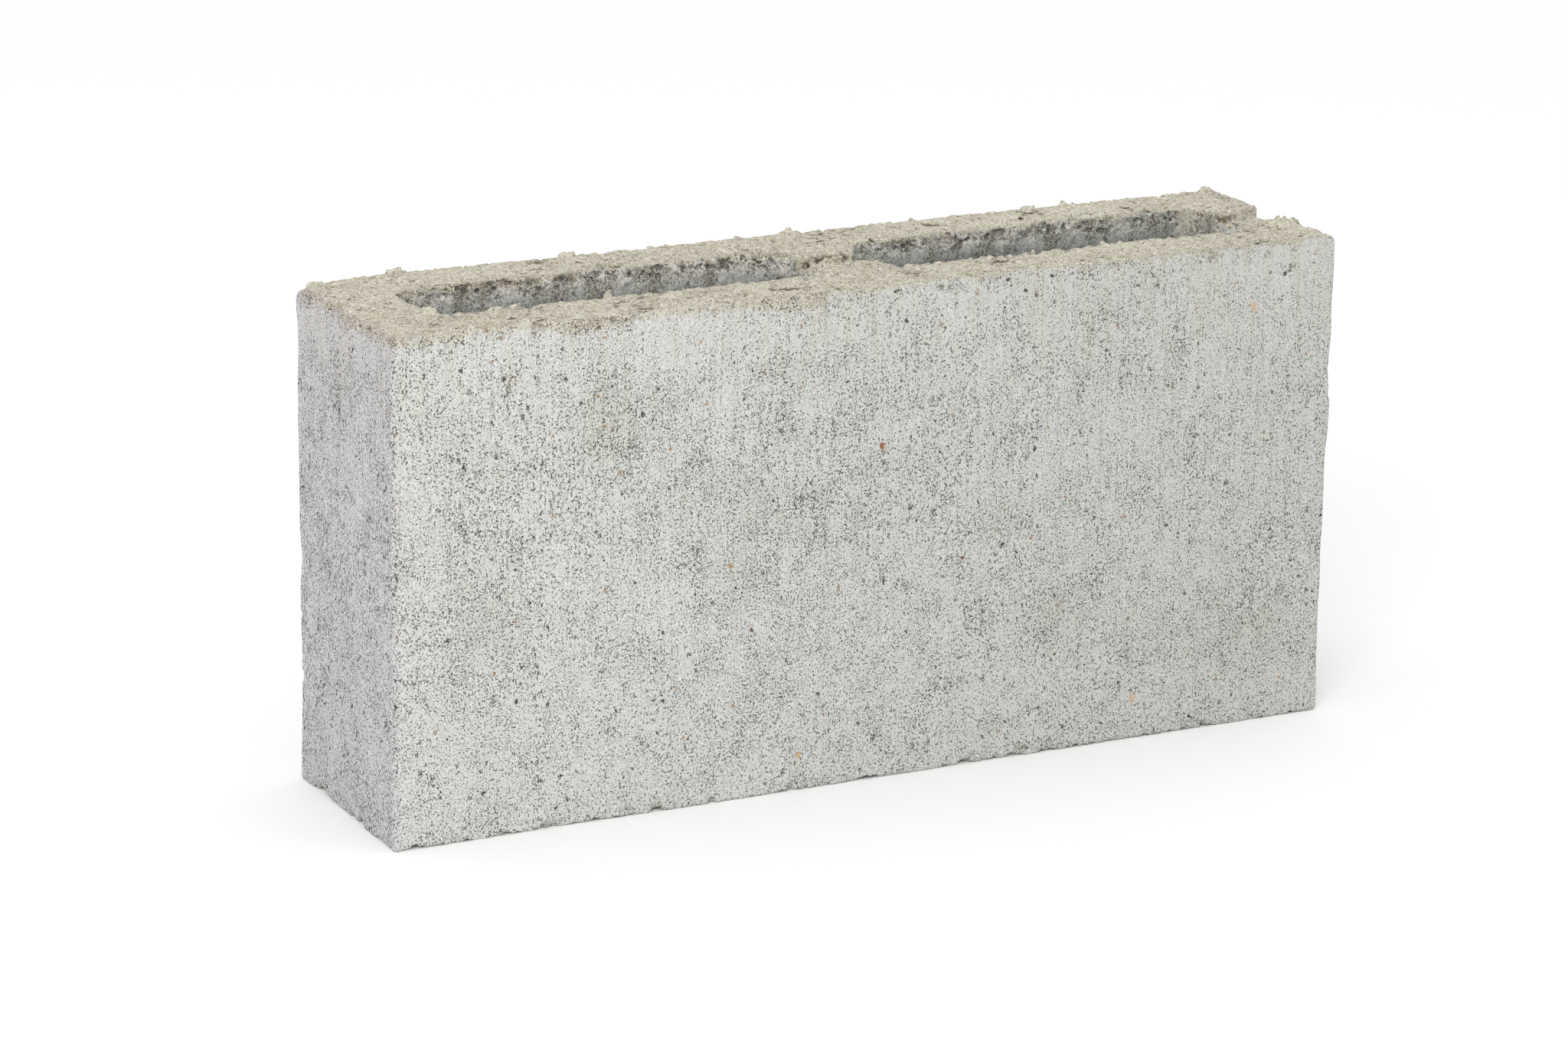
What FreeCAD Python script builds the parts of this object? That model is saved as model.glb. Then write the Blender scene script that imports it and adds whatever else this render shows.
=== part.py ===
"""Two-core hollow concrete masonry block, 390 x 90 x 190 mm, plain at one end and grooved at the other.

The block is one dry-pressed casting of no-slump concrete, so it is one solid: two face shells, two end webs and a
centre web, all monolithic. It is drawn as it leaves the mould, standing on its pallet face. The mould box and its two
core formers are lifted off upwards, so both cores are widest at the top and close in by a small draft towards the
pallet, and the formers' hanger bar leaves a shallow trough across the centre web and the grooved end's web.

Frame, in millimetres: origin at the centre of the bottom bed face, +X along the length towards the grooved end,
+Y through the thickness, +Z up.
"""
import FreeCAD
import Part
import Sketcher
import os

V = FreeCAD.Vector

doc = FreeCAD.newDocument("hollow_block")

# ---------------------------------------------------------------- driving dimensions
sheet = doc.addObject("Spreadsheet::Sheet", "Dimensions")
DIMENSIONS = [
    ("block_length", 390.0),  # 400 mm module less one 10 mm mortar joint
    ("block_thickness", 90.0),  # 100 mm module less one joint
    ("block_height", 190.0),  # 200 mm module less one joint
    ("end_web", 27.0),  # from the plain end face to the nearest core, at the top
    ("core_length", 158.0),  # along the block, at the top
    ("centre_web", 25.0),  # between the two cores, at the top: leaves a 22 mm web at the grooved end
    ("core_width", 40.0),  # across the block, at the top: leaves 25 mm face shells
    ("core_corner", 15.0),  # corner radius of each core in plan, at the top
    ("core_draft", 0.6),  # degrees per side; each wall leans in towards the bottom
    ("groove_mouth", 22.0),  # end groove across the block, at the end face
    ("groove_floor", 15.0),  # and at its floor
    ("groove_depth", 10.0),
    ("groove_corner", 3.0),  # radius in the groove's two inner corners
    ("trough_width", 14.0),  # hanger-bar trough over the two webs
    ("trough_depth", 3.5),
    ("trough_over", 2.0),  # how far a trough runs past its web into a core
    ("arris", 1.5),  # rounding of the outside upright edges
]
for row, (alias, value) in enumerate(DIMENSIONS, start=1):
    sheet.set(f"A{row}", alias)
    sheet.set(f"B{row}", str(value))
    sheet.setAlias(f"B{row}", alias)
doc.recompute()


def size(alias):
    return float(getattr(sheet, alias))


# ---------------------------------------------------------------- helpers
def origin_plane(body, role):
    for feature in body.Origin.OriginFeatures:
        if feature.Role == role:
            return feature
    raise RuntimeError(f"{body.Label} has no {role}")


def sketch_on_xy(body, name, height_alias=None):
    """A sketch on the body's own XY plane, or raised to a height held in the sheet."""
    sk = body.newObject("Sketcher::SketchObject", name)
    sk.AttachmentSupport = [(origin_plane(body, "XY_Plane"), "")]
    sk.MapMode = "FlatFace"
    if height_alias:
        sk.setExpression("AttachmentOffset.Base.z", f"Dimensions.{height_alias}")
    return sk


def closed_outline(sk, points):
    """Straight edges through the points, joined end to end, with no size of their own yet."""
    first = sk.GeometryCount
    n = len(points)
    for i in range(n):
        a, b = points[i], points[(i + 1) % n]
        sk.addGeometry(Part.LineSegment(V(a[0], a[1], 0), V(b[0], b[1], 0)), False)
    for i in range(n):
        sk.addConstraint(Sketcher.Constraint("Coincident", first + i, 2, first + (i + 1) % n, 1))
    return first


def bind(sk, constraint, name, expression):
    """Adds a dimensional constraint, names it and drives it from the sheet."""
    index = sk.addConstraint(constraint)
    sk.renameConstraint(index, name)
    sk.setExpression(f"Constraints.{name}", expression)
    return index


def volume(feature):
    doc.recompute()
    return feature.Shape.Volume


# ---------------------------------------------------------------- the block
block = doc.addObject("PartDesign::Body", "HollowBlock")
block.Label = "hollow_block"

# Outside form: a plain rectangle, length by thickness, centred on the origin and raised to the full height.
L, T, H = size("block_length"), size("block_thickness"), size("block_height")
outline = sketch_on_xy(block, "OutlineSketch")
g = closed_outline(outline, [(-L / 2, -T / 2), (L / 2, -T / 2), (L / 2, T / 2), (-L / 2, T / 2)])
outline.addConstraint(Sketcher.Constraint("Horizontal", g))
outline.addConstraint(Sketcher.Constraint("Horizontal", g + 2))
outline.addConstraint(Sketcher.Constraint("Vertical", g + 1))
outline.addConstraint(Sketcher.Constraint("Vertical", g + 3))
bind(outline, Sketcher.Constraint("DistanceX", g, 1, g, 2, L), "length", "Dimensions.block_length")
bind(outline, Sketcher.Constraint("DistanceY", g + 1, 1, g + 1, 2, T), "thickness", "Dimensions.block_thickness")
bind(outline, Sketcher.Constraint("DistanceX", g, 1, -1, 1, L / 2), "half_length", "Dimensions.block_length / 2")
bind(outline, Sketcher.Constraint("DistanceY", g, 1, -1, 1, T / 2), "half_thickness", "Dimensions.block_thickness / 2")
form = block.newObject("PartDesign::Pad", "OutsideForm")
form.Profile = outline
form.setExpression("Length", "Dimensions.block_height")
outside_volume = volume(form)

# One core, as the former shapes it: a rounded rectangle at the top bed face, pushed down through the block with a
# draft that closes it in. The core on the grooved side is the same one again, a core and a centre web further along.
x0 = -L / 2 + size("end_web")
x1 = x0 + size("core_length")
y1, r = size("core_width") / 2, size("core_corner")
core = sketch_on_xy(block, "CoreSketch", "block_height")
S = Part.LineSegment
A = lambda cx, cy, a, b: Part.ArcOfCircle(Part.Circle(V(cx, cy, 0), V(0, 0, 1), r), a, b)
PI = 3.141592653589793
core.addGeometry(S(V(x0 + r, -y1, 0), V(x1 - r, -y1, 0)), False)  # 0 front wall
core.addGeometry(A(x1 - r, -y1 + r, 1.5 * PI, 2 * PI), False)  # 1
core.addGeometry(S(V(x1, -y1 + r, 0), V(x1, y1 - r, 0)), False)  # 2 centre-web wall
core.addGeometry(A(x1 - r, y1 - r, 0, 0.5 * PI), False)  # 3
core.addGeometry(S(V(x1 - r, y1, 0), V(x0 + r, y1, 0)), False)  # 4 rear wall
core.addGeometry(A(x0 + r, y1 - r, 0.5 * PI, PI), False)  # 5
core.addGeometry(S(V(x0, y1 - r, 0), V(x0, -y1 + r, 0)), False)  # 6 end-web wall
core.addGeometry(A(x0 + r, -y1 + r, PI, 1.5 * PI), False)  # 7
for line, end, arc, start in ((0, 2, 1, 1), (2, 1, 1, 2), (2, 2, 3, 1), (4, 1, 3, 2), (4, 2, 5, 1), (6, 1, 5, 2), (6, 2, 7, 1), (0, 1, 7, 2)):
    core.addConstraint(Sketcher.Constraint("Tangent", line, end, arc, start))
for line in (0, 4):
    core.addConstraint(Sketcher.Constraint("Horizontal", line))
for line in (2, 6):
    core.addConstraint(Sketcher.Constraint("Vertical", line))
for arc in (3, 5, 7):
    core.addConstraint(Sketcher.Constraint("Equal", 1, arc))
bind(core, Sketcher.Constraint("Radius", 1, r), "corner", "Dimensions.core_corner")
bind(core, Sketcher.Constraint("DistanceY", 0, 1, -1, 1, y1), "half_width_front", "Dimensions.core_width / 2")
bind(core, Sketcher.Constraint("DistanceY", -1, 1, 4, 1, y1), "half_width_rear", "Dimensions.core_width / 2")
TO_CENTRE_WEB = "Dimensions.block_length / 2 - Dimensions.end_web - Dimensions.core_length"
bind(core, Sketcher.Constraint("DistanceX", 2, 1, -1, 1, -x1), "to_centre_web", TO_CENTRE_WEB)
bind(core, Sketcher.Constraint("DistanceX", 6, 1, -1, 1, -x0), "to_end_web", "Dimensions.block_length / 2 - Dimensions.end_web")
core_cut = block.newObject("PartDesign::Pocket", "CorePlainEnd")
core_cut.Profile = core
core_cut.Type = 0
core_cut.setExpression("Length", "Dimensions.block_height")
core_cut.setExpression("TaperAngle", "-Dimensions.core_draft")
one_core = outside_volume - volume(core_cut)

both_cores = block.newObject("PartDesign::LinearPattern", "CoreGroovedEnd")
both_cores.Originals = [core_cut]
both_cores.Direction = (core, ["H_Axis"])
both_cores.Occurrences = 2
both_cores.setExpression("Length", "Dimensions.core_length + Dimensions.centre_web")
block.Tip = both_cores
two_cores = outside_volume - volume(both_cores)

# The groove in one end, full height, that the mortar keys into: a flat-floored trapezium with rounded inner corners.
m, w, d = size("groove_mouth") / 2, size("groove_floor") / 2, size("groove_depth")
groove = sketch_on_xy(block, "GrooveSketch", "block_height")
over = 1.0
k = (m - w) / d
g = closed_outline(groove, [(L / 2 - d, -w), (L / 2 + over, -m - k * over), (L / 2 + over, m + k * over), (L / 2 - d, w)])
groove.addConstraint(Sketcher.Constraint("Vertical", g + 1))
groove.addConstraint(Sketcher.Constraint("Vertical", g + 3))
bind(groove, Sketcher.Constraint("DistanceX", -1, 1, g, 1, L / 2 - d), "floor_at", "Dimensions.block_length / 2 - Dimensions.groove_depth")
bind(groove, Sketcher.Constraint("DistanceX", -1, 1, g, 2, L / 2 + over), "mouth_at", "Dimensions.block_length / 2 + 1")
bind(groove, Sketcher.Constraint("DistanceY", g, 1, -1, 1, w), "half_floor_front", "Dimensions.groove_floor / 2")
bind(groove, Sketcher.Constraint("DistanceY", -1, 1, g + 3, 1, w), "half_floor_rear", "Dimensions.groove_floor / 2")
MOUTH = "Dimensions.groove_mouth / 2 + (Dimensions.groove_mouth - Dimensions.groove_floor) / 2 / Dimensions.groove_depth"
bind(groove, Sketcher.Constraint("DistanceY", g, 2, -1, 1, m + k * over), "half_mouth_front", MOUTH)
bind(groove, Sketcher.Constraint("DistanceY", -1, 1, g + 2, 1, m + k * over), "half_mouth_rear", MOUTH)
groove_cut = block.newObject("PartDesign::Pocket", "EndGroove")
groove_cut.Profile = groove
groove_cut.Type = 0
groove_cut.setExpression("Length", "Dimensions.block_height")
groove_volume = outside_volume - two_cores - volume(groove_cut)


# The hanger-bar trough: one short channel over the centre web and one over the grooved end's web.
def trough(name, left, right, left_expression, right_expression):
    sk = sketch_on_xy(block, name + "Sketch", "block_height")
    half = size("trough_width") / 2
    n = closed_outline(sk, [(left, -half), (right, -half), (right, half), (left, half)])
    for edge in (n, n + 2):
        sk.addConstraint(Sketcher.Constraint("Horizontal", edge))
    for edge in (n + 1, n + 3):
        sk.addConstraint(Sketcher.Constraint("Vertical", edge))
    if left < 0:
        bind(sk, Sketcher.Constraint("DistanceX", n, 1, -1, 1, -left), "starts", left_expression)
    else:
        bind(sk, Sketcher.Constraint("DistanceX", -1, 1, n, 1, left), "starts", left_expression)
    bind(sk, Sketcher.Constraint("DistanceX", -1, 1, n, 2, right), "ends", right_expression)
    bind(sk, Sketcher.Constraint("DistanceY", n, 1, -1, 1, half), "half_front", "Dimensions.trough_width / 2")
    bind(sk, Sketcher.Constraint("DistanceY", -1, 1, n + 2, 1, half), "half_rear", "Dimensions.trough_width / 2")
    cut = block.newObject("PartDesign::Pocket", name)
    cut.Profile = sk
    cut.Type = 0
    cut.setExpression("Length", "Dimensions.trough_depth")
    return cut


past = size("trough_over")
x2 = x1 + size("centre_web")
x3 = x2 + size("core_length")
before = block.Tip.Shape.Volume
centre_trough = trough(
    "CentreWebTrough",
    x1 - past,
    x2 + past,
    TO_CENTRE_WEB + " + Dimensions.trough_over",
    "Dimensions.centre_web + Dimensions.trough_over - (" + TO_CENTRE_WEB + ")",
)
after_centre = volume(centre_trough)
end_trough = trough(
    "EndWebTrough",
    x3 - past,
    L / 2 - d + 1,
    "Dimensions.centre_web + Dimensions.core_length - Dimensions.trough_over - (" + TO_CENTRE_WEB + ")",
    "Dimensions.block_length / 2 - Dimensions.groove_depth + 1",
)
after_end = volume(end_trough)


# Rounded inner corners of the groove, then the outside upright edges.
def upright_edges(feature, where):
    names = []
    for i, edge in enumerate(feature.Shape.Edges, start=1):
        box = edge.BoundBox
        if box.ZLength > 0.9 * size("block_height") and box.XLength < 0.01 and box.YLength < 0.01:
            if where(box.Center.x, box.Center.y):
                names.append(f"Edge{i}")
    return names


inner = upright_edges(end_trough, lambda x, y: abs(x - (L / 2 - d)) < 0.01 and abs(abs(y) - w) < 0.01)
groove_round = block.newObject("PartDesign::Fillet", "GrooveCorners")
groove_round.Base = (end_trough, inner)
groove_round.setExpression("Radius", "Dimensions.groove_corner")
after_groove_round = volume(groove_round)

outer = upright_edges(
    groove_round,
    lambda x, y: abs(abs(x) - L / 2) < 0.01 and (abs(abs(y) - T / 2) < 0.01 or abs(abs(y) - m) < 0.01),
)
arris_round = block.newObject("PartDesign::Fillet", "UprightArrises")
arris_round.Base = (groove_round, outer)
arris_round.setExpression("Radius", "Dimensions.arris")
block.Tip = arris_round
block.Placement = FreeCAD.Placement(V(0, 0, 0), FreeCAD.Rotation(0, 0, 0))
final_volume = volume(arris_round)

# ---------------------------------------------------------------- checks before anything is written
for obj in doc.Objects:
    bad = [s for s in obj.State if s in ("Invalid", "Error")]
    if bad:
        raise RuntimeError(f"{obj.Name} is {bad}")
shape = block.Shape
if shape.isNull() or not shape.isValid() or len(shape.Solids) != 1:
    raise RuntimeError("the block is not one valid solid")
if len(inner) != 2 or len(outer) != 6:
    raise RuntimeError(f"expected 2 groove corners and 6 upright edges, found {len(inner)} and {len(outer)}")
top_area = size("core_width") * (x1 - x0) - (4 - PI) * r * r
print(f"outside {outside_volume:.0f} mm3, one core {one_core:.0f}, two cores {two_cores:.0f}, top area x height {top_area * H:.0f}")
print(f"groove {groove_volume:.0f}, centre trough {before - after_centre:.0f}, end trough {after_centre - after_end:.0f}")
if not 0.8 * top_area * H < one_core < top_area * H:
    raise RuntimeError("the core is missing, or its draft runs the wrong way")
if abs(two_cores - 2 * one_core) > 1:
    raise RuntimeError("the mirrored core is missing")
if groove_volume < 0.9 * (m + w) * d * H or before - after_centre < 100 or after_centre - after_end < 100:
    raise RuntimeError("the groove or a trough cut nothing")
box = shape.BoundBox
print(f"box {box.XMin:.2f} {box.XMax:.2f} {box.YMin:.2f} {box.YMax:.2f} {box.ZMin:.2f} {box.ZMax:.2f}, volume {final_volume:.0f} mm3")
bottom = [f for f in shape.Faces if abs(f.BoundBox.ZMax) < 1e-6]
for f in bottom:
    for wire in f.Wires:
        wb = wire.BoundBox
        print(f"bottom wire x {wb.XMin:.2f}..{wb.XMax:.2f} y {wb.YMin:.2f}..{wb.YMax:.2f}")

os.makedirs("parts", exist_ok=True)
for body in [o for o in doc.Objects if o.TypeId == "PartDesign::Body"]:
    body.Shape.exportStep(f"parts/{body.Label}.step")
    print("wrote", body.Label)
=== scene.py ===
"""Looks for a two-core hollow concrete masonry block.

The block is one dry-pressed casting, so it is one piece. Its skin is a level set: the block's exact planes, cores,
groove and troughs, with arrises rounded unevenly, then crumbs, pores, chips and drag marks added as solid relief
before the surface is meshed. Lengths are in millimetres until the mesh is made.
"""
import math
import time

import bpy
import numpy as np
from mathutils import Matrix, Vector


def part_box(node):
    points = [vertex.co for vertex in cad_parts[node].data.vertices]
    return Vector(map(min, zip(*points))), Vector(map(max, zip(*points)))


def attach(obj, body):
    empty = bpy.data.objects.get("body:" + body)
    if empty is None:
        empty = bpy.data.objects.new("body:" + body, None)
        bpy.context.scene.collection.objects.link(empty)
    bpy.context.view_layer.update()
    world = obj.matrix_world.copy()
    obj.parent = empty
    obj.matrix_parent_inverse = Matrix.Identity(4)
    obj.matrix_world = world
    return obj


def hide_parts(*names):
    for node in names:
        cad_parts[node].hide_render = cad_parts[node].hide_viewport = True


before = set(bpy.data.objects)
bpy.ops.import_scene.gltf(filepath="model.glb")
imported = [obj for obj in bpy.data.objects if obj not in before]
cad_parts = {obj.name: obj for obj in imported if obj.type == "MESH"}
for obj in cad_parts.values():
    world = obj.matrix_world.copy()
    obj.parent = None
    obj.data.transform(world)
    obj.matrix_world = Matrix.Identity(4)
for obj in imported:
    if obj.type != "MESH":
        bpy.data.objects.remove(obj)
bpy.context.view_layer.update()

import openvdb as vdb
from mathutils import Matrix, Vector

NODE = "hollow_block"
LO, HI = [np.array(c) * 1000.0 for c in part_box(NODE)]
HX, HY, HZ = (HI[0] - LO[0]) / 2, (HI[1] - LO[1]) / 2, HI[2] - LO[2]
started = time.time()

# the casting's own sizes, as in its CAD source
END_WEB, CORE_LENGTH, CENTRE_WEB, CORE_WIDTH, DRAFT = 27.0, 158.0, 25.0, 40.0, math.tan(math.radians(0.6))
GROOVE_MOUTH, GROOVE_FLOOR, GROOVE_DEPTH = 22.0, 15.0, 10.0
TROUGH_WIDTH, TROUGH_DEPTH, TROUGH_OVER = 14.0, 3.5, 2.0

# ---------------------------------------------------------------- noise
F = np.float32
rng = np.random.default_rng(20)
N_TABLE = 64
TABLE = rng.standard_normal(N_TABLE**3).astype(F)
JITTER = rng.random((3, N_TABLE**3)).astype(F)
ROTATIONS, OFFSETS = [], []
for _ in range(24):
    q, _r = np.linalg.qr(rng.standard_normal((3, 3)))
    ROTATIONS.append(q.astype(F))
    OFFSETS.append((rng.random(3) * 60).astype(F))


def noise(P, wavelength, seed, stretch=(1, 1, 1)):
    """Smooth noise of about unit spread. stretch lengthens it along an axis of the block; a stretched one isn't turned."""
    s = np.array(stretch, F) * F(wavelength)
    q = P / s
    if tuple(stretch) == (1, 1, 1):
        q = q @ ROTATIONS[seed % 24].T
    q = q + OFFSETS[(seed * 7 + 3) % 24] + F(seed * 1.37)
    i = np.floor(q).astype(np.int32)
    f = (q - i).astype(F)
    u = f * f * f * (f * (f * 6 - 15) + 10)
    i0 = i & (N_TABLE - 1)
    i1 = (i + 1) & (N_TABLE - 1)
    x0, y0, z0 = i0[:, 0] * (N_TABLE * N_TABLE), i0[:, 1] * N_TABLE, i0[:, 2]
    x1, y1, z1 = i1[:, 0] * (N_TABLE * N_TABLE), i1[:, 1] * N_TABLE, i1[:, 2]
    ux, uy, uz = u[:, 0], u[:, 1], u[:, 2]
    T = TABLE
    a = T[x0 + y0 + z0]; a += ux * (T[x1 + y0 + z0] - a)
    b = T[x0 + y1 + z0]; b += ux * (T[x1 + y1 + z0] - b)
    a += uy * (b - a)
    c = T[x0 + y0 + z1]; c += ux * (T[x1 + y0 + z1] - c)
    d = T[x0 + y1 + z1]; d += ux * (T[x1 + y1 + z1] - d)
    c += uy * (d - c)
    a += uz * (c - a)
    return a * F(1.6)


def cells(P, size, seed):
    """Distance to the nearest scattered point, in cell sizes, and that point's random number from 0 to 1."""
    q = (P / F(size)) @ ROTATIONS[seed % 24].T + OFFSETS[(seed * 5 + 1) % 24]
    i = np.floor(q).astype(np.int32)
    f = (q - i).astype(F)
    best = np.full(len(P), 9.0, F)
    who = np.zeros(len(P), np.int32)
    for dx in (-1, 0, 1):
        X = ((i[:, 0] + dx) & (N_TABLE - 1)) * (N_TABLE * N_TABLE)
        for dy in (-1, 0, 1):
            XY = X + ((i[:, 1] + dy) & (N_TABLE - 1)) * N_TABLE
            for dz in (-1, 0, 1):
                k = XY + ((i[:, 2] + dz) & (N_TABLE - 1))
                ex = JITTER[0][k] + F(dx) - f[:, 0]
                ey = JITTER[1][k] + F(dy) - f[:, 1]
                ez = JITTER[2][k] + F(dz) - f[:, 2]
                e = ex * ex + ey * ey + ez * ez
                nearer = e < best
                best = np.where(nearer, e, best)
                who = np.where(nearer, k, who)
    pick = JITTER[0][(who * 31 + 17) & (N_TABLE**3 - 1)]
    return np.sqrt(best), pick


def step(a, b, v):
    t = np.clip((v - a) / (b - a), 0, 1)
    return t * t * (3 - 2 * t)


def both(a, b, r):
    """Where two solids meet, with the edge between them rounded to r."""
    u, v = np.maximum(a + r, 0), np.maximum(b + r, 0)
    return np.minimum(np.maximum(a + r, b + r), 0) + np.sqrt(u * u + v * v) - r


# ---------------------------------------------------------------- the casting as a level set
def cores(x, y, z, corner_left=15.0):
    """Distance outside the nearer core: below zero in the hole."""
    shrink = (HZ - z) * DRAFT
    half = CORE_LENGTH / 2
    middle = END_WEB + half - HX
    # squarer corners by the plain end, rounder ones elsewhere
    r = 14.5 - shrink - (6.0 - 1.5 * step(-8, 5, y)) * step(-155, -165, x)
    along = np.minimum(np.abs(x - middle), np.abs(x - middle - CORE_LENGTH - CENTRE_WEB))
    qx = along - (half - shrink - r)
    qy = np.abs(y) - (CORE_WIDTH / 2 - shrink - r)
    return np.hypot(np.maximum(qx, 0), np.maximum(qy, 0)) + np.minimum(np.maximum(qx, qy), 0) - r


def groove(x, y):
    """Distance outside the end groove."""
    floor_x = HX - GROOVE_DEPTH
    k = (GROOVE_MOUTH - GROOVE_FLOOR) / 2 / GROOVE_DEPTH
    a = floor_x - x
    b = (np.abs(y) - GROOVE_FLOOR / 2 - k * (x - floor_x)) / math.hypot(1, k)
    return both(a, b, 3.0)


def troughs(x, y, z):
    """Distance outside the two hanger-bar troughs."""
    a = np.maximum(np.abs(y) - TROUGH_WIDTH / 2, HZ - TROUGH_DEPTH - z)
    web = END_WEB + CORE_LENGTH - HX
    mid = np.abs(x - web - CENTRE_WEB / 2) - CENTRE_WEB / 2 - TROUGH_OVER
    ends = web + CENTRE_WEB + CORE_LENGTH - TROUGH_OVER, HX - GROOVE_DEPTH + 3
    end = np.maximum(ends[0] - x, x - ends[1])
    return np.maximum(a, np.minimum(mid, end))


def casting(P, report=False):
    """The level set at points P, above zero outside. report adds the masks that the finish is made from."""
    x, y, z = P[:, 0], P[:, 1], P[:, 2]
    n60, n18 = noise(P, 60, 1), noise(P, 18, 2)
    n7, n3 = noise(P, 7, 3), noise(P, 3.1, 4)
    n15 = noise(P, 1.7, 5)

    # planes, each a little out of true
    wander = 0.10 * n60 + 0.05 * n18
    sx, sy = np.abs(x) - HX + wander, np.abs(y) - HY + wander
    zt, zb = z - HZ, -z
    c = cores(x, y, z) - 0.25 * n18 - 0.12 * n7
    g = groove(x, y)

    # arrises: upright ones about 1.8, the top ones worn, most of all at the plain end's rear corner
    rv = np.clip(1.6 + 0.5 * n18, 0.8, 3.0)
    corner = np.exp(-(((x + HX) / 16) ** 2 + ((y - HY) / 12) ** 2 + ((z - HZ) / 16) ** 2))
    rt = np.clip(1.3 + 0.6 * n18 + 0.5 * n7, 0.5, 3.2) + 6.5 * corner
    rb = np.clip(1.1 + 0.5 * n18, 0.4, 2.2)
    side = both(both(sx, sy, rv), -g, 1.5)
    walls = np.maximum(side, -c)
    d = both(side, zb, rb)
    d = both(d, zt, rt)
    d = both(d, -c, np.clip(1.3 + 0.7 * n7, 0.4, 2.6))
    t = troughs(x, y, z) + 0.6 * n3
    d = both(d, -t, 1.0)

    # which surface is nearest, from 0 to 1
    over = np.maximum(zt, np.where(t < 3, 1.2 - t, -1e3)) - walls
    top = np.clip(0.5 + over / 3.0, 0, 1)
    bottom = np.clip(0.5 + (zb - np.maximum(walls, zt)) / 3.0, 0, 1)
    inner = np.clip(0.5 + (-c - side) / 3.0, 0, 1) * (1 - top) * (1 - bottom)
    rest = np.clip(1 - top - bottom - inner, 0, 1)

    # the struck top: grains and crumbs of sand, with slits between
    high = np.flatnonzero(z > HZ - 10)
    Q, h3, h15, h7, h18 = P[high], n3[high], n15[high], n7[high], n18[high]
    rim = step(-7, -1, walls[high]) * step(-7, -1, zt[high])
    grain_d, grain_pick = cells(Q, 1.4, 6)
    grain = np.sqrt(np.clip(1 - (grain_d / 0.85) ** 2, 0, 1)) * (0.25 + 0.75 * grain_pick) - 0.40
    crumb_d, crumb_pick = cells(Q, 4.3, 16)
    crumbs = np.sqrt(np.clip(1 - (crumb_d / 0.62) ** 2, 0, 1)) * np.clip(crumb_pick * 2.2 - 1.1, 0, 1)
    relief = 0.12 * h18 + 0.15 * h7 + 0.15 * h3 + 0.16 * h15 + 0.52 * grain + 0.50 * crumbs - 0.06
    slits = step(1.55, 2.1, noise(Q, 2.6, 8, (1.8, 1.0, 1.0))) * (0.9 + 1.3 * step(0.2, 1.2, noise(Q, 22, 21)))
    flat = Q * F([1, 1, 0]) + F([0, 0, HZ])
    nubs = step(1.2, 1.9, noise(flat, 5.0, 9)) * (1.3 + 0.2 * h15) * (0.12 + 0.88 * rim) + 0.5 * step(0.9, 2.0, noise(flat, 3.0, 10)) * rim
    xh, yh = x[high], y[high]
    beside = np.exp(-(((xh - HX + 5) / 7.0) ** 2 + ((yh - HY + 2.5) / 7.0) ** 2))
    nubs *= (1 - 0.9 * beside) * (1 - 0.3 * step(150, 172, xh))
    far_nub = 2.5 * np.exp(-(((xh - HX + 5) / 2.9) ** 2 + ((yh - HY + 2.8) / 2.4) ** 2) ** 1.5)
    # the rear side of each bar trough, crumbled and sunk; its dark is painted shade, through the crumb height in the
    # finish
    seat = step(3.0, 0.8, np.abs(t[high] - 0.6 * h3)) * step(1.0, 4.5, yh) * step(-0.5, 0.7, 0.9 * h15 + 0.35 * h3)
    raise_top, slit, chips = np.zeros_like(x), np.zeros_like(x), np.zeros_like(x)
    raise_top[high] = relief - slits + nubs + far_nub - 1.1 * seat
    slit[high] = slits

    # the moulded faces: flat where the paste met the mould, a few pores where it didn't
    crowd = step(-1.2, 1.8, noise(P, 26, 11) + 0.5 * noise(P, 11, 12) + 0.8 * step(0, -130, x) * step(90, 20, z))
    pores = step(4.5 - 0.8 * crowd, 5.2 - 0.8 * crowd, noise(P, 1.7, 14) + 1.0 * n15) * 1.0
    drag = noise(P, 1.9, 17, (1, 1, 14)) * 0.05 + noise(P, 5.0, 15, (1, 1, 9)) * 0.05
    raise_face = drag + 0.03 * n15 + 0.03 * n3 - pores

    # core walls: coarser, torn by the former as it lifted, most of all at the mouth
    mouth = step(-8.5, -2.0, zt)
    raise_inner = 0.16 * noise(P, 3.6, 18, (1, 1, 3.5)) + (0.10 + 0.15 * mouth) * n3 + (0.12 + 0.32 * mouth) * n15
    raise_inner -= step(2.7, 3.6, noise(P, 2.2, 19) + 0.9 * n15) * 0.8
    raise_inner -= step(1.5, 2.4, noise(P, 1.9, 22, (1.2, 1.2, 1)) + 0.9 * n15) * 1.8 * mouth

    # the pallet face: flat, open between the grains
    raise_bottom = np.minimum(0.12 * n3 + 0.12 * n15, 0.03) - step(1.2, 2.2, noise(P, 2.4, 20)) * 1.1

    raised = raise_top * top + raise_bottom * bottom + raise_inner * inner + raise_face * rest
    # grains knocked off the arrises
    torn = 0.75 * n7 + 0.55 * n3
    chips[high] = (step(0.9, 2.2, torn[high]) * 2.2 + step(0.7, 1.9, h15 + 0.5 * h3) * 0.7) * rim * step(0.9, 0.1, nubs)
    chips[high] += 0.5 * seat
    low_rim = step(-5, -1, side) * step(-5, -0.5, zb) + 0.5 * step(-3.2, -0.5, sx) * step(-3.2, -0.5, sy)
    chips += step(0.6, 1.9, torn + 0.15 * n15) * 1.8 * np.clip(low_rim, 0, 1)
    d = d - raised + chips
    # nothing stands below the pallet face
    d = np.maximum(d, zb)
    if not report:
        return d
    # pit: the pores and slits, which the finish paints dark as painted shade inside them
    pit = pores * rest + np.clip(slit / 1.4, 0, 1) * top
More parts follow.
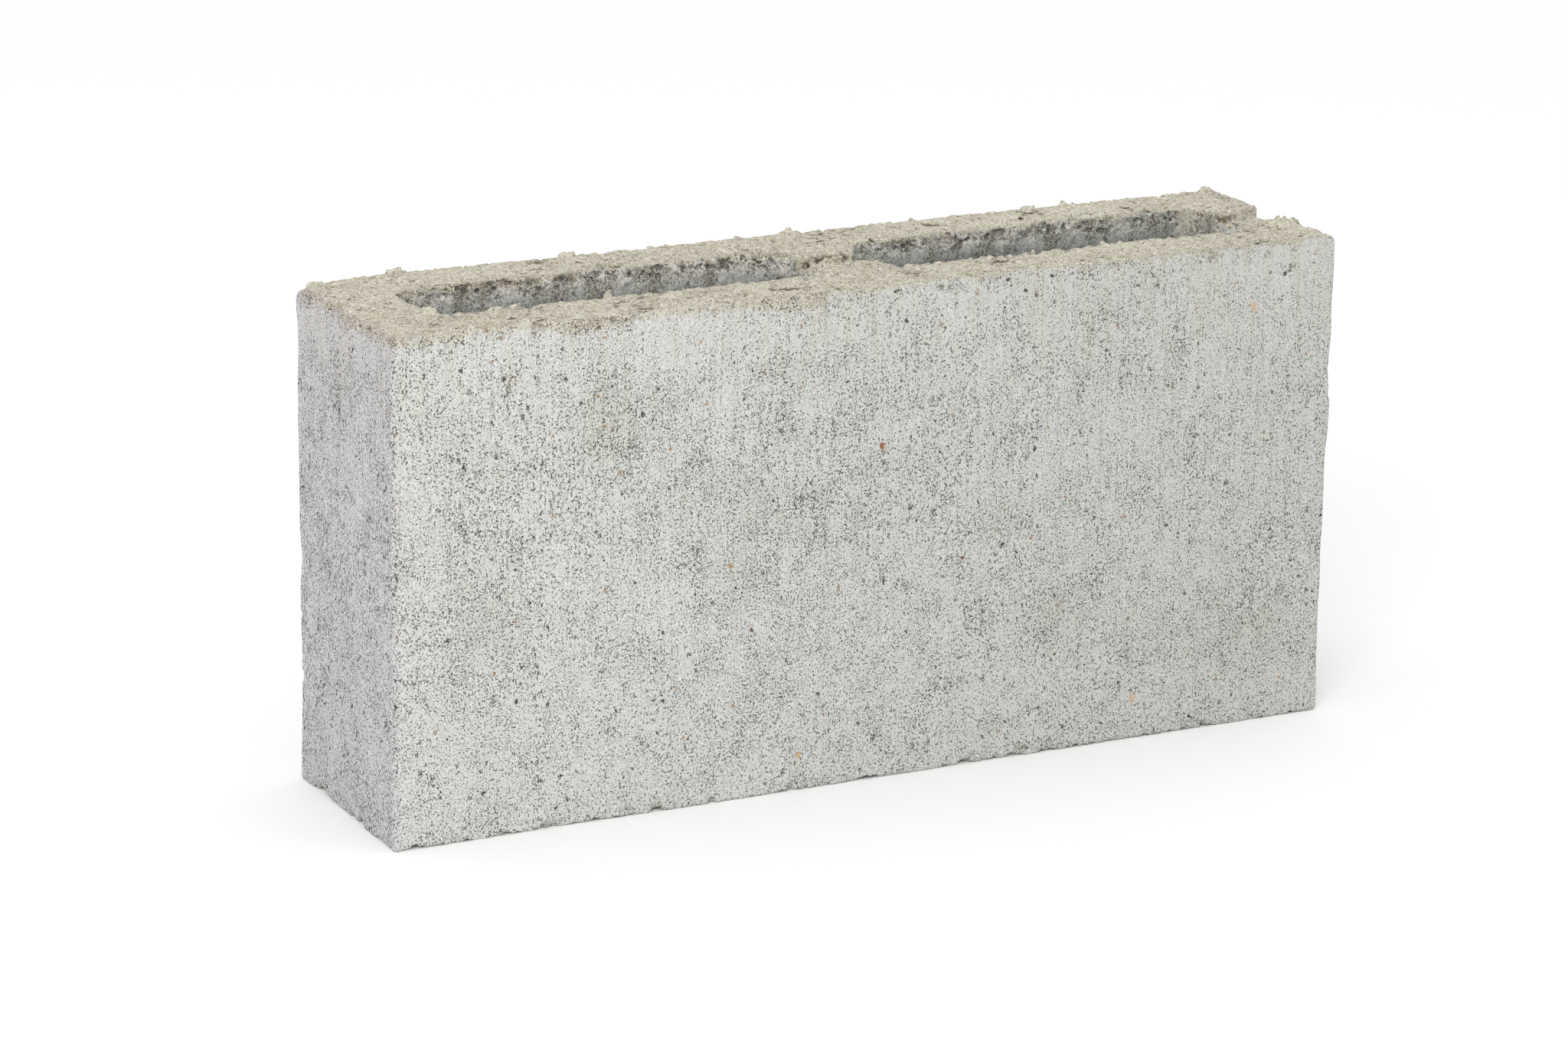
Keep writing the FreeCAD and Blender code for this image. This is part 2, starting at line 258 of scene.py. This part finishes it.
    # greyer, more open patches of the front: (x, z, reach along, reach up, how much)
    damp = np.zeros_like(x)
    for px, pz, rx, rz, much in ((-109, 149, 21, 21, 1.8), (-38, 96, 52, 34, 0.9), (157, 42, 34, 30, 0.9), (-165, 76, 20, 26, 0.8), (82, 60, 30, 24, 0.6)):
        damp += much * np.exp(-(((x - px) / rx) ** 2 + ((z - pz) / rz) ** 2)) * (y < 0)
    # and the parts with the fewest gaps: close under the struck top, and the front's upper end by the groove
    calm = step(HZ - 26, HZ - 6, z + 4 * n18) + step(40, 150, x) * step(80, 165, z) * (y < 0) * 0.8
    damp += 0.6 * np.exp(-(((x + HX) / 12) ** 2 + ((z - 20) / 45) ** 2)) * step(-10, 40, y)
    # the pits of the core walls and the pallet face too, also painted dark as shade
    pit += np.clip(-raise_inner - 0.25, 0, 1.2) * inner + np.clip(-raise_bottom - 0.1, 0, 1.2) * bottom
    # sand dropped into the groove's upper end, and over the outer end of each core; over the core ends it is partly
    # painted shade, dulling end walls that the light falls on
    spilt = 0.62 * step(4.0, 1.5, np.abs(g)) * step(HZ - 15, HZ - 4, z)
    ends = 0.58 * step(158, 165, x) + 0.60 * step(-148, -158, x)
    spilt = np.maximum(spilt, ends * step(4.0, 1.5, np.abs(c)) * step(HZ - 20, HZ - 9, z))
    return {
        "top": top,
        "cover": np.clip(np.maximum(0.5 + over / 7.0, spilt), 0, 1),
        "cloud": np.clip(0.40 + 0.03 * noise(P, 55, 23) + 0.05 * noise(P, 24, 13) + 0.25 * damp + 0.03 * calm, 0, 1),
        "crowd": np.clip(0.5 + 0.03 * noise(P, 10, 9) + 0.04 * noise(P, 5.0, 7) + 0.045 * np.minimum(damp, 1.2) - 0.11 * calm, 0, 1),
        "tone": np.clip(0.5 + 0.11 * noise(P, 24, 11) + 0.06 * noise(P, 11, 8), 0, 1),
        "bottom": bottom,
        "inner": inner,
        "pit": np.clip(pit, 0, 1),
        "torn": np.clip(chips / 1.6, 0, 1),
        "crumb": np.clip(0.5 + raise_top * 0.5, 0, 1),
    }


def spacing(start, end, size):
    """Places from start to end, size(place) apart."""
    places = [start]
    while places[-1] < end:
        places.append(places[-1] + size(places[-1]))
    return np.array(places, F)


def skin():
    """Meshes the level set. Only the points near the surface are worked out. The grid is finer at the struck top."""
    k = 1.0
    plan_step = 0.60 * k
    ax = [
        spacing(LO[0] - 3, HI[0] + 3, lambda v: plan_step),
        spacing(LO[1] - 3, HI[1] + 3, lambda v: plan_step),
        spacing(-3.0, HZ + 5, lambda v: k * (0.5 if v > HZ - 9 else 0.8 if v > HZ - 16 or v < 7 else 1.2)),
    ]
    count = [len(v) for v in ax]
    X, Y = np.meshgrid(ax[0], ax[1], indexing="ij")
    plan = np.maximum(np.maximum(np.abs(X) - HX, np.abs(Y) - HY), -groove(X, Y))
    z = ax[2]
    at_top, at_foot = z > HZ - 10, z < 7
    inside = np.where(at_top, -7.0, np.where(at_foot, -4.4, -2.9))
    outside = np.where(at_top, 3.9, 1.3)
    field = np.empty(count, F)
    near = np.empty(count, bool)
    for n in range(count[2]):
        slab = np.maximum(plan, -cores(X, Y, F(z[n])))
        slab = np.maximum(slab, max(z[n] - HZ, -z[n]))
        field[:, :, n] = np.clip(slab, -3, 3)
        near[:, :, n] = (slab > inside[n]) & (slab < outside[n])
    flat = np.flatnonzero(near)
    field = field.ravel()
    nyz, nz = count[1] * count[2], count[2]
    for part in np.array_split(flat, max(1, len(flat) // 500000)):
        i, rest = np.divmod(part, nyz)
        j, m = np.divmod(rest, nz)
        P = np.stack([ax[0][i], ax[1][j], ax[2][m]], 1)
        field[part] = np.clip(casting(P), -3, 3)
    grid = vdb.FloatGrid()
    grid.background = 3.0
    grid.copyFromArray(np.ascontiguousarray(field.reshape(count)), tolerance=0.0)
    grid.gridClass = vdb.GridClass.LEVEL_SET
    points, quads = grid.convertToQuads(isovalue=0.0)
    points = np.stack([np.interp(points[:, n], np.arange(count[n]), ax[n]) for n in range(3)], 1)
    print(f"skin: {len(flat)} points worked out, {len(points)} vertices, {len(quads)} faces, {time.time() - started:.1f} s")
    return points.astype(F), quads.astype(np.int32)


def keep_largest(points, quads):
    """Drops specks that float free of the block, and any bubble inside it."""
    label = np.arange(len(points))
    edges = np.concatenate([quads[:, [0, 1]], quads[:, [1, 2]], quads[:, [2, 3]]])
    while True:
        low = np.minimum(label[edges[:, 0]], label[edges[:, 1]])
        new = label.copy()
        np.minimum.at(new, edges[:, 0], low)
        np.minimum.at(new, edges[:, 1], low)
        new = new[new]
        new = new[new]
        if np.array_equal(new, label):
            break
        label = new
    main = np.bincount(label).argmax()
    keep = label == main
    index = np.cumsum(keep) - 1
    print(f"dropped {int((~keep).sum())} vertices of loose specks")
    return points[keep], index[quads[keep[quads[:, 0]]]].astype(np.int32)


points, quads = keep_largest(*skin())
me = bpy.data.meshes.new("block_skin")
me.vertices.add(len(points))
me.vertices.foreach_set("co", (points / 1000.0).astype(F).ravel())
me.loops.add(len(quads) * 4)
me.loops.foreach_set("vertex_index", quads[:, ::-1].ravel().astype(np.int32))
me.polygons.add(len(quads))
me.polygons.foreach_set("loop_start", np.arange(0, len(quads) * 4, 4, dtype=np.int32))
me.update(calc_edges=True)
me.polygons.foreach_set("use_smooth", np.ones(len(quads), bool))
for part_name, values in casting(points, report=True).items():
    a = me.attributes.new(part_name, "FLOAT", "POINT")
    a.data.foreach_set("value", values.astype(F))
block = bpy.data.objects.new("block_casting", me)
bpy.context.scene.collection.objects.link(block)
# a solid's faces must look outwards
volume = 0.0
co = points.astype(float)
tri = co[quads[:, ::-1]]
volume = (np.einsum("ij,ij->i", tri[:, 0], np.cross(tri[:, 1], tri[:, 2])) + np.einsum("ij,ij->i", tri[:, 0], np.cross(tri[:, 2], tri[:, 3]))).sum() / 6e6
if volume < 0:
    me.flip_normals()
print(f"mesh made, volume {abs(volume):.3f} litres, {time.time() - started:.1f} s")


# ---------------------------------------------------------------- the finish
class Tree:
    """A short way to write a node tree: every call returns the socket to pass on."""

    def __init__(self, name):
        self.m = bpy.data.materials.new(name)
        self.m.use_nodes = True
        self.t = self.m.node_tree
        self.t.nodes.clear()
        self.out = self.t.nodes.new("ShaderNodeOutputMaterial")
        self.shader = self.t.nodes.new("ShaderNodeBsdfPrincipled")
        self.t.links.new(self.shader.outputs[0], self.out.inputs[0])

    def put(self, socket, value):
        if isinstance(value, bpy.types.NodeSocket):
            self.t.links.new(value, socket)
        else:
            socket.default_value = value

    def attr(self, name):
        n = self.t.nodes.new("ShaderNodeAttribute")
        n.attribute_type = "GEOMETRY"
        n.attribute_name = name
        return n.outputs["Fac"]

    def math(self, op, a, b=0.0, c=0.0, clamp=False):
        n = self.t.nodes.new("ShaderNodeMath")
        n.operation = op
        n.use_clamp = clamp
        for socket, v in zip(n.inputs, (a, b, c)):
            self.put(socket, v)
        return n.outputs[0]

    def ramp(self, v, a, b, lo=0.0, hi=1.0, smooth=True):
        """v from a to b becomes lo to hi, held beyond them."""
        n = self.t.nodes.new("ShaderNodeMapRange")
        n.interpolation_type = "SMOOTHSTEP" if smooth else "LINEAR"
        n.clamp = True
        for socket, x in zip((n.inputs[0], n.inputs[1], n.inputs[2], n.inputs[3], n.inputs[4]), (v, a, b, lo, hi)):
            self.put(socket, x)
        return n.outputs[0]

    def mix(self, fac, a, b, blend="MIX"):
        n = self.t.nodes.new("ShaderNodeMix")
        n.data_type = "RGBA"
        n.blend_type = blend
        n.clamp_factor = True
        self.put(n.inputs[0], fac)
        for socket, v in ((n.inputs[6], a), (n.inputs[7], b)):
            self.put(socket, v if isinstance(v, bpy.types.NodeSocket) else (*v, 1.0))
        return n.outputs[2]

    def pick(self, fac, a, b):
        n = self.t.nodes.new("ShaderNodeMix")
        n.data_type = "FLOAT"
        self.put(n.inputs[0], fac)
        self.put(n.inputs[2], a)
        self.put(n.inputs[3], b)
        return n.outputs[0]

    def place(self, stretch=(1, 1, 1), shift=(0, 0, 0)):
        """Object coordinates in millimetres, divided by stretch."""
        c = self.t.nodes.new("ShaderNodeTexCoord")
        n = self.t.nodes.new("ShaderNodeMapping")
        n.inputs["Location"].default_value = shift
        n.inputs["Scale"].default_value = tuple(1000.0 / s for s in stretch)
        self.t.links.new(c.outputs["Object"], n.inputs["Vector"])
        return n.outputs[0]

    def noise(self, at, size, detail=2.0, rough=0.5, distortion=0.0):
        n = self.t.nodes.new("ShaderNodeTexNoise")
        n.inputs["Scale"].default_value = 1.0 / size
        n.inputs["Detail"].default_value = detail
        n.inputs["Roughness"].default_value = rough
        n.inputs["Distortion"].default_value = distortion
        self.t.links.new(at, n.inputs["Vector"])
        return n.outputs["Fac"]

    def voronoi(self, at, size, feature="F1"):
        n = self.t.nodes.new("ShaderNodeTexVoronoi")
        n.feature = feature
        n.inputs["Scale"].default_value = 1.0 / size
        self.t.links.new(at, n.inputs["Vector"])
        if feature == "DISTANCE_TO_EDGE":
            return n.outputs["Distance"], None
        s = self.t.nodes.new("ShaderNodeSeparateColor")
        self.t.links.new(n.outputs["Color"], s.inputs[0])
        return n.outputs["Distance"], s

    def warp(self, at, size, amount):
        """Coordinates pushed about by a noise."""
        n = self.t.nodes.new("ShaderNodeTexNoise")
        n.inputs["Scale"].default_value = 1.0 / size
        n.inputs["Detail"].default_value = 1.0
        self.t.links.new(at, n.inputs["Vector"])
        m = self.t.nodes.new("ShaderNodeVectorMath")
        m.operation = "MULTIPLY_ADD"
        self.t.links.new(n.outputs["Color"], m.inputs[0])
        m.inputs[1].default_value = (amount,) * 3
        self.t.links.new(at, m.inputs[2])
        return m.outputs[0]

    def stops(self, v, marks):
        """v through a colour ramp: marks are (place, colour) pairs."""
        n = self.t.nodes.new("ShaderNodeValToRGB")
        r = n.color_ramp
        r.interpolation = "LINEAR"
        while len(r.elements) < len(marks):
            r.elements.new(0.5)
        for e, (p, c) in zip(r.elements, marks):
            e.position = p
            e.color = (*c, 1.0)
        self.t.links.new(v, n.inputs[0])
        return n.outputs[0]

    def blend(self, *pairs, plus=0.0):
        """The weighted sum of some values: (value, weight) pairs."""
        total = plus
        for value, weight in pairs:
            total = self.math("MULTIPLY_ADD", value, weight, total)
        return total

    def bump(self, height, distance, strength=1.0, normal=None):
        n = self.t.nodes.new("ShaderNodeBump")
        n.inputs["Strength"].default_value = strength
        n.inputs["Distance"].default_value = distance
        self.t.links.new(height, n.inputs["Height"])
        if normal is not None:
            self.t.links.new(normal, n.inputs["Normal"])
        return n.outputs[0]


def concrete():
    T = Tree("dry_pressed_concrete")
    at = T.place()
    top, bottom, inner, cover = T.attr("top"), T.attr("bottom"), T.attr("inner"), T.attr("cover")
    pit, torn, crumb = T.attr("pit"), T.attr("torn"), T.attr("crumb")
    cloud, crowd, tone = T.attr("cloud"), T.attr("crowd"), T.attr("tone")
    sep = T.t.nodes.new("ShaderNodeSeparateXYZ")
    T.t.links.new(at, sep.inputs[0])
    along, height = sep.outputs[0], sep.outputs[2]

    # --- moulded faces: a pale skin of paste, broken by gaps along the sand grains, more in patches
    clump = T.noise(at, 1.7, 3.0, 0.65)
    fine = T.noise(T.place((1, 1, 1.2)), 0.42, 1.5, 0.6, 0.2)
    mid = T.noise(T.place((1, 1, 1.2), (31, 7, 3)), 0.68, 2.0, 0.62, 0.3)
    streak = T.noise(T.place((1.0, 1.0, 22.0), (5, 5, 5)), 1.1, 2.0, 0.6)
    upper = T.ramp(height, 40.0, 130.0, 0.35, 1.0)
    edge, _ = T.voronoi(T.warp(T.place((1, 1, 1.15)), 0.6, 0.45), 0.74, "DISTANCE_TO_EDGE")
    edge2, _ = T.voronoi(T.warp(T.place((1, 1, 1.1), (7, 1, 5)), 1.3, 0.9), 1.7, "DISTANCE_TO_EDGE")
    band = T.math("MULTIPLY", T.ramp(height, HZ - 9.0, HZ - 2.5), T.ramp(tone, 0.40, 0.60))
    streaks = T.math("MULTIPLY", T.math("SUBTRACT", streak, 0.5), upper)
    end = T.ramp(along, -HX + 2.5, -HX + 0.8)
    thin = T.blend((mid, 1.0), (crowd, 0.26), (cloud, 0.03), (streaks, 0.14), (pit, 0.25), (band, 0.05), (end, 0.010), plus=-0.657)
    gaps = T.math("MULTIPLY", T.ramp(edge, 0.06, 0.18, 1.0, 0.0), T.ramp(thin, 0.01, 0.11, 0.0, 1.0))
    gaps2 = T.math("MULTIPLY", T.ramp(edge2, 0.03, 0.15, 1.0, 0.0), T.ramp(thin, 0.08, 0.18, 0.0, 1.0))
    gaps = T.math("MAXIMUM", gaps, gaps2)
    # a few bigger pits, ragged at this scale, painted dark as the shade inside them
    hole = T.blend((T.noise(T.place((1, 1, 1.8), (3, 13, 23)), 1.05, 2.5, 0.62, 0.5), 1.0), (crowd, 0.24), (along, -0.00008), (end, 0.055), plus=-0.806)
    gaps = T.math("MAXIMUM", gaps, T.ramp(hole, 0.0, 0.03))
    face = T.stops(fine, [
        (0.28, (0.352, 0.352, 0.338)), (0.40, (0.519, 0.524, 0.50)), (0.58, (0.622, 0.627, 0.60)), (0.72, (0.755, 0.755, 0.735)),
    ])
    face = T.mix(T.ramp(cloud, 0.44, 0.90, 0.0, 0.9), face, T.mix(1.0, face, (0.90, 0.90, 0.86), "MULTIPLY"))
    # painted shade: the faces darker towards the right end, as the light falls off along the block
    face = T.mix(T.ramp(along, -170.0, 150.0, 0.0, 1.0), face, T.mix(1.0, face, (0.87, 0.87, 0.86), "MULTIPLY"))
    face = T.mix(T.ramp(streaks, 0.0, 0.16, 0.0, 0.35), face, T.mix(1.0, face, (0.82, 0.82, 0.81), "MULTIPLY"))
    drip = T.math("MULTIPLY", T.ramp(T.noise(T.place((1.0, 1.0, 14.0), (8, 8, 8)), 2.4, 2.0, 0.55), 0.48, 0.66), T.ramp(height, HZ - 60.0, HZ - 3.0))
    face = T.mix(T.math("MULTIPLY", drip, 0.5), face, T.mix(1.0, face, (0.90, 0.86, 0.77), "MULTIPLY"))
    # the gaps and pits painted near black to brown: painted shade in the hollows between the grains
    gap_shade = T.mix(T.ramp(clump, 0.42, 0.60), (0.012, 0.012, 0.011), (0.16, 0.146, 0.122))
    face = T.mix(T.math("MULTIPLY", gaps, 0.96), face, gap_shade)

    # --- the struck top: sand and paste
    near_sand, sand_rand = T.voronoi(T.warp(at, 0.7, 0.3), 0.75)
    sand_n = T.noise(at, 0.45, 2.0, 0.6)
    # crumb, the top's relief height, pales the peaks a little: a painted highlight
    grit = T.blend((sand_n, 0.60), (clump, 0.24), (sand_rand.outputs[0], 0.22), (tone, 0.10), (crumb, 0.09), plus=-0.120)
    cream = T.stops(grit, [
        (0.30, (0.18, 0.158, 0.11)), (0.40, (0.39, 0.363, 0.281)), (0.48, (0.527, 0.502, 0.408)),
        (0.58, (0.618, 0.590, 0.488)), (0.70, (0.75, 0.732, 0.645)),
    ])
    cream = T.mix(T.ramp(sand_rand.outputs[1], 0.92, 0.97, 0.0, 0.55), cream, (0.36, 0.23, 0.13))
    cream = T.mix(T.ramp(sand_rand.outputs[2], 0.94, 0.98, 0.0, 0.7), cream, (0.12, 0.115, 0.10))
    # the slits and hollows of the top, and the trough seats, go near black: painted shade
    cream = T.mix(T.ramp(crumb, 0.27, 0.02, 0.0, 0.85), cream, (0.09, 0.075, 0.05))

    # --- inside the cores, and the pallet face
    wall_n = T.noise(T.place((1, 1, 1.5)), 0.75, 3.0, 0.68, 0.3)
    wall_far = T.noise(T.place((1, 1, 4.0)), 7.0, 3.0, 0.62)
    wall_thin = T.blend((mid, 1.0), (crowd, 0.2), (wall_far, 0.8), (pit, 0.4), (T.ramp(height, HZ - 12.0, HZ - 2.0), 0.05), plus=-1.028)
    wall_gaps = T.math("MULTIPLY", T.ramp(edge, 0.08, 0.24, 1.0, 0.0), T.ramp(wall_thin, 0.0, 0.10, 0.0, 1.0))
    wall_hole = T.blend((T.noise(T.place((1, 1, 1.2), (9, 3, 1)), 1.5, 3.0, 0.65, 0.6), 1.0), (wall_far, 0.35), (T.ramp(height, HZ - 9.0, HZ - 3.0), 0.06), plus=-0.830)
    wall_gaps = T.math("MAXIMUM", wall_gaps, T.ramp(wall_hole, 0.0, 0.05))
    wall_gaps = T.math("MAXIMUM", wall_gaps, T.ramp(T.blend((pit, 1.0), (fine, 1.4)), 1.20, 1.75))
    wall = T.stops(wall_n, [
        (0.28, (0.16, 0.163, 0.158)), (0.42, (0.34, 0.345, 0.337)), (0.56, (0.43, 0.436, 0.428)), (0.70, (0.62, 0.623, 0.612)),
    ])
    # painted light: the core walls paler over their top 12 mm, where the light reaches into the mouths
    wall = T.mix(T.ramp(height, HZ - 12.0, HZ - 3.0, 0.0, 1.0), wall, T.mix(1.0, wall, (1.62, 1.58, 1.49), "MULTIPLY"))
    # painted shade: the right core's walls darker than the left core's, as the light falls off along the block
    wall = T.mix(T.ramp(along, -20.0, 20.0), T.mix(1.0, wall, (1.05, 1.04, 1.03), "MULTIPLY"), T.mix(1.0, wall, (0.88, 0.88, 0.875), "MULTIPLY"))
    wall = T.mix(T.ramp(wall_far, 0.48, 0.64, 0.0, 0.8), wall, T.mix(1.0, wall, (0.84, 0.83, 0.74), "MULTIPLY"))
    # the core walls' gaps and holes painted near black: painted shade in the pits
    wall = T.mix(T.math("MULTIPLY", wall_gaps, 0.88), wall, T.mix(T.ramp(clump, 0.35, 0.65), (0.02, 0.02, 0.018), (0.17, 0.165, 0.15)))
    under = T.mix(0.25, face, wall)

    # --- which goes where, with ragged borders
    ragged = T.blend((T.noise(at, 1.5, 3.0, 0.7), 1.0), (crowd, 1.1), (fine, 0.5), plus=-1.30)
    is_top = T.math("MULTIPLY", T.ramp(T.math("ADD", cover, ragged), 0.45, 0.50), T.ramp(cover, 0.02, 0.10))
    is_inner = T.ramp(T.math("ADD", inner, ragged), 0.40, 0.60)
    is_bottom = T.ramp(T.math("ADD", bottom, ragged), 0.40, 0.60)
    stain_n = T.noise(T.place((1, 1, 1.2)), 2.0, 3.0, 0.75)
    stain_reach = T.blend((stain_n, -9.0), (tone, -9.0), (T.ramp(along, 60.0, -60.0), -2.0), (inner, 1.5), plus=HZ + 7.0)
    stain = T.ramp(T.math("SUBTRACT", height, stain_reach), -1.2, 1.8, 0.0, 0.55)
    col = T.mix(is_inner, face, wall)
    col = T.mix(is_bottom, col, under)
    col = T.mix(stain, col, T.mix(1.0, col, (0.86, 0.77, 0.60), "MULTIPLY"))
    col = T.mix(is_top, col, cream)
    # chipped spots speckled dark brown: partly the broken surface's colour, partly painted shade in the chips
    col = T.mix(T.math("MULTIPLY", torn, T.ramp(fine, 0.58, 0.44, 0.05, 0.8)), col, (0.22, 0.19, 0.135))
    # the plain end is tinted cooler and a little darker: partly its own tone, partly painted shade for how the light
    # falls on that side
    end = T.math("MULTIPLY", end, T.math("SUBTRACT", 1.0, is_top))
    col = T.mix(end, col, T.mix(1.0, col, (0.935, 0.915, 0.955), "MULTIPLY"))

    # odd grains of rust-brown sand
    near_rust, rust_rand = T.voronoi(T.warp(T.place((1, 1, 1), (2, 4, 6)), 0.9, 0.7), 2.9)
    rust_r = T.math("MULTIPLY", T.math("POWER", rust_rand.outputs[0], 7.0), 0.30)
    rust = T.ramp(T.math("SUBTRACT", near_rust, rust_r), 0.02, -0.06, 0.0, 1.0)
    rust_tone = T.mix(rust_rand.outputs[1], (0.33, 0.165, 0.06), (0.13, 0.085, 0.055))
    col = T.mix(T.math("MULTIPLY", rust, T.ramp(fine, 0.3, 0.6, 0.95, 0.5)), col, rust_tone)

    # the front's biggest rust-coloured grains: (x, z, reach, colour)
    near_by = T.warp(T.place((1, 1, 1.25)), 1.1, 1.6)
    for gx, gz, gr, tint in (
        (0, 129, 1.3, (0.27, 0.105, 0.02)), (-62, 91, 1.0, (0.45, 0.28, 0.13)), (159, 166, 1.7, (0.55, 0.43, 0.32)),
        (111, 16, 1.8, (0.55, 0.44, 0.33)), (-33, 14, 1.3, (0.50, 0.34, 0.20)), (-53, 65, 0.9, (0.13, 0.075, 0.04)), (35, 82, 0.9, (0.16, 0.09, 0.05)),
    ):
        far = T.t.nodes.new("ShaderNodeVectorMath")
        far.operation = "DISTANCE"
        T.t.links.new(near_by, far.inputs[0])
        far.inputs[1].default_value = (gx + 0.8, -HY + 0.8, gz / 1.25 + 0.8)
        col = T.mix(T.ramp(far.outputs["Value"], gr, gr * 0.7, 0.0, 0.92), col, tint)

    T.put(T.shader.inputs["Base Color"], col)
    T.shader.inputs["Specular IOR Level"].default_value = 0.25
    T.put(T.shader.inputs["Roughness"], T.ramp(fine, 0.3, 0.7, 0.98, 0.88))

    # --- relief finer than the mesh
    h_face = T.blend((gaps, -0.30), (fine, 0.25))
    h_wall = T.blend((wall_n, 0.6), (fine, 0.2))
    h_sand = T.blend((near_sand, -0.30), (sand_n, 0.35), (clump, 0.3))
    h = T.pick(top, T.pick(inner, h_face, h_wall), h_sand)
    T.put(T.shader.inputs["Normal"], T.bump(h, 0.001, 0.9))
    return T.m


me.materials.append(concrete())
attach(block, "root")
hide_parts(NODE)

# ---------------------------------------------------------------- floor, light, camera
floor_me = bpy.data.meshes.new("floor")
R = 6.0
floor_me.from_pydata([(-R, -R, 0), (R, -R, 0), (R, R, 0), (-R, R, 0)], [], [(0, 1, 2, 3)])
floor = bpy.data.objects.new("floor", floor_me)
bpy.context.scene.collection.objects.link(floor)
fm = bpy.data.materials.new("pale_floor")
fm.use_nodes = True
fb = fm.node_tree.nodes["Principled BSDF"]
fb.inputs["Base Color"].default_value = (0.95, 0.95, 0.95, 1)
fb.inputs["Roughness"].default_value = 0.95
fb.inputs["Specular IOR Level"].default_value = 0.0
floor_me.materials.append(fm)

world = bpy.data.worlds.new("studio")
bpy.context.scene.world = world
world.use_nodes = True
bg = world.node_tree.nodes["Background"]
bg.inputs["Color"].default_value = (1.0, 1.0, 1.0, 1)
bg.inputs["Strength"].default_value = 1.0


def lamp(name, at, aim, size, power, colour=(1, 1, 1)):
    data = bpy.data.lights.new(name, "AREA")
    data.shape = "RECTANGLE"
    data.size, data.size_y = size
    data.energy = power
    data.color = colour
    o = bpy.data.objects.new(name, data)
    o.location = at
    o.rotation_mode = "QUATERNION"
    o.rotation_quaternion = (Vector(aim) - Vector(at)).to_track_quat("-Z", "Y")
    bpy.context.scene.collection.objects.link(o)
    return o


lamp("key", (-1.25, -1.6, 1.3), (0, 0, 0.09), (0.9, 0.8), 17.0, (1.0, 0.995, 0.985))
lamp("fill", (1.8, -1.6, 1.6), (0, 0, 0.09), (1.4, 1.2), 1.5, (0.98, 0.985, 1.0))

AZ, EL, ROLL = 0.47550556, 0.28428694, 0.01438182
fwd = Vector((math.sin(AZ) * math.cos(EL), math.cos(AZ) * math.cos(EL), -math.sin(EL)))
right = Vector((math.cos(AZ), -math.sin(AZ), 0))
up = right.cross(fwd)
r2 = math.cos(ROLL) * right + math.sin(ROLL) * up
u2 = -math.sin(ROLL) * right + math.cos(ROLL) * up
cam_data = bpy.data.cameras.new("camera")
cam_data.sensor_width = 36.0
cam_data.lens = 6730.713 * 36.0 / 2048.0
cam_data.clip_start, cam_data.clip_end = 0.05, 50.0
cam = bpy.data.objects.new("camera", cam_data)
cam.matrix_world = Matrix((
    (r2.x, u2.x, -fwd.x, -0.868542),
    (r2.y, u2.y, -fwd.y, -1.653678),
    (r2.z, u2.z, -fwd.z, 0.633348),
    (0, 0, 0, 1),
))
bpy.context.scene.collection.objects.link(cam)
bpy.context.scene.camera = cam
bpy.context.scene.view_settings.view_transform = "Standard"
bpy.context.scene.view_settings.look = "None"

bpy.context.view_layer.update()
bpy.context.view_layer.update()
print(f"scene ready in {time.time() - started:.1f} s")
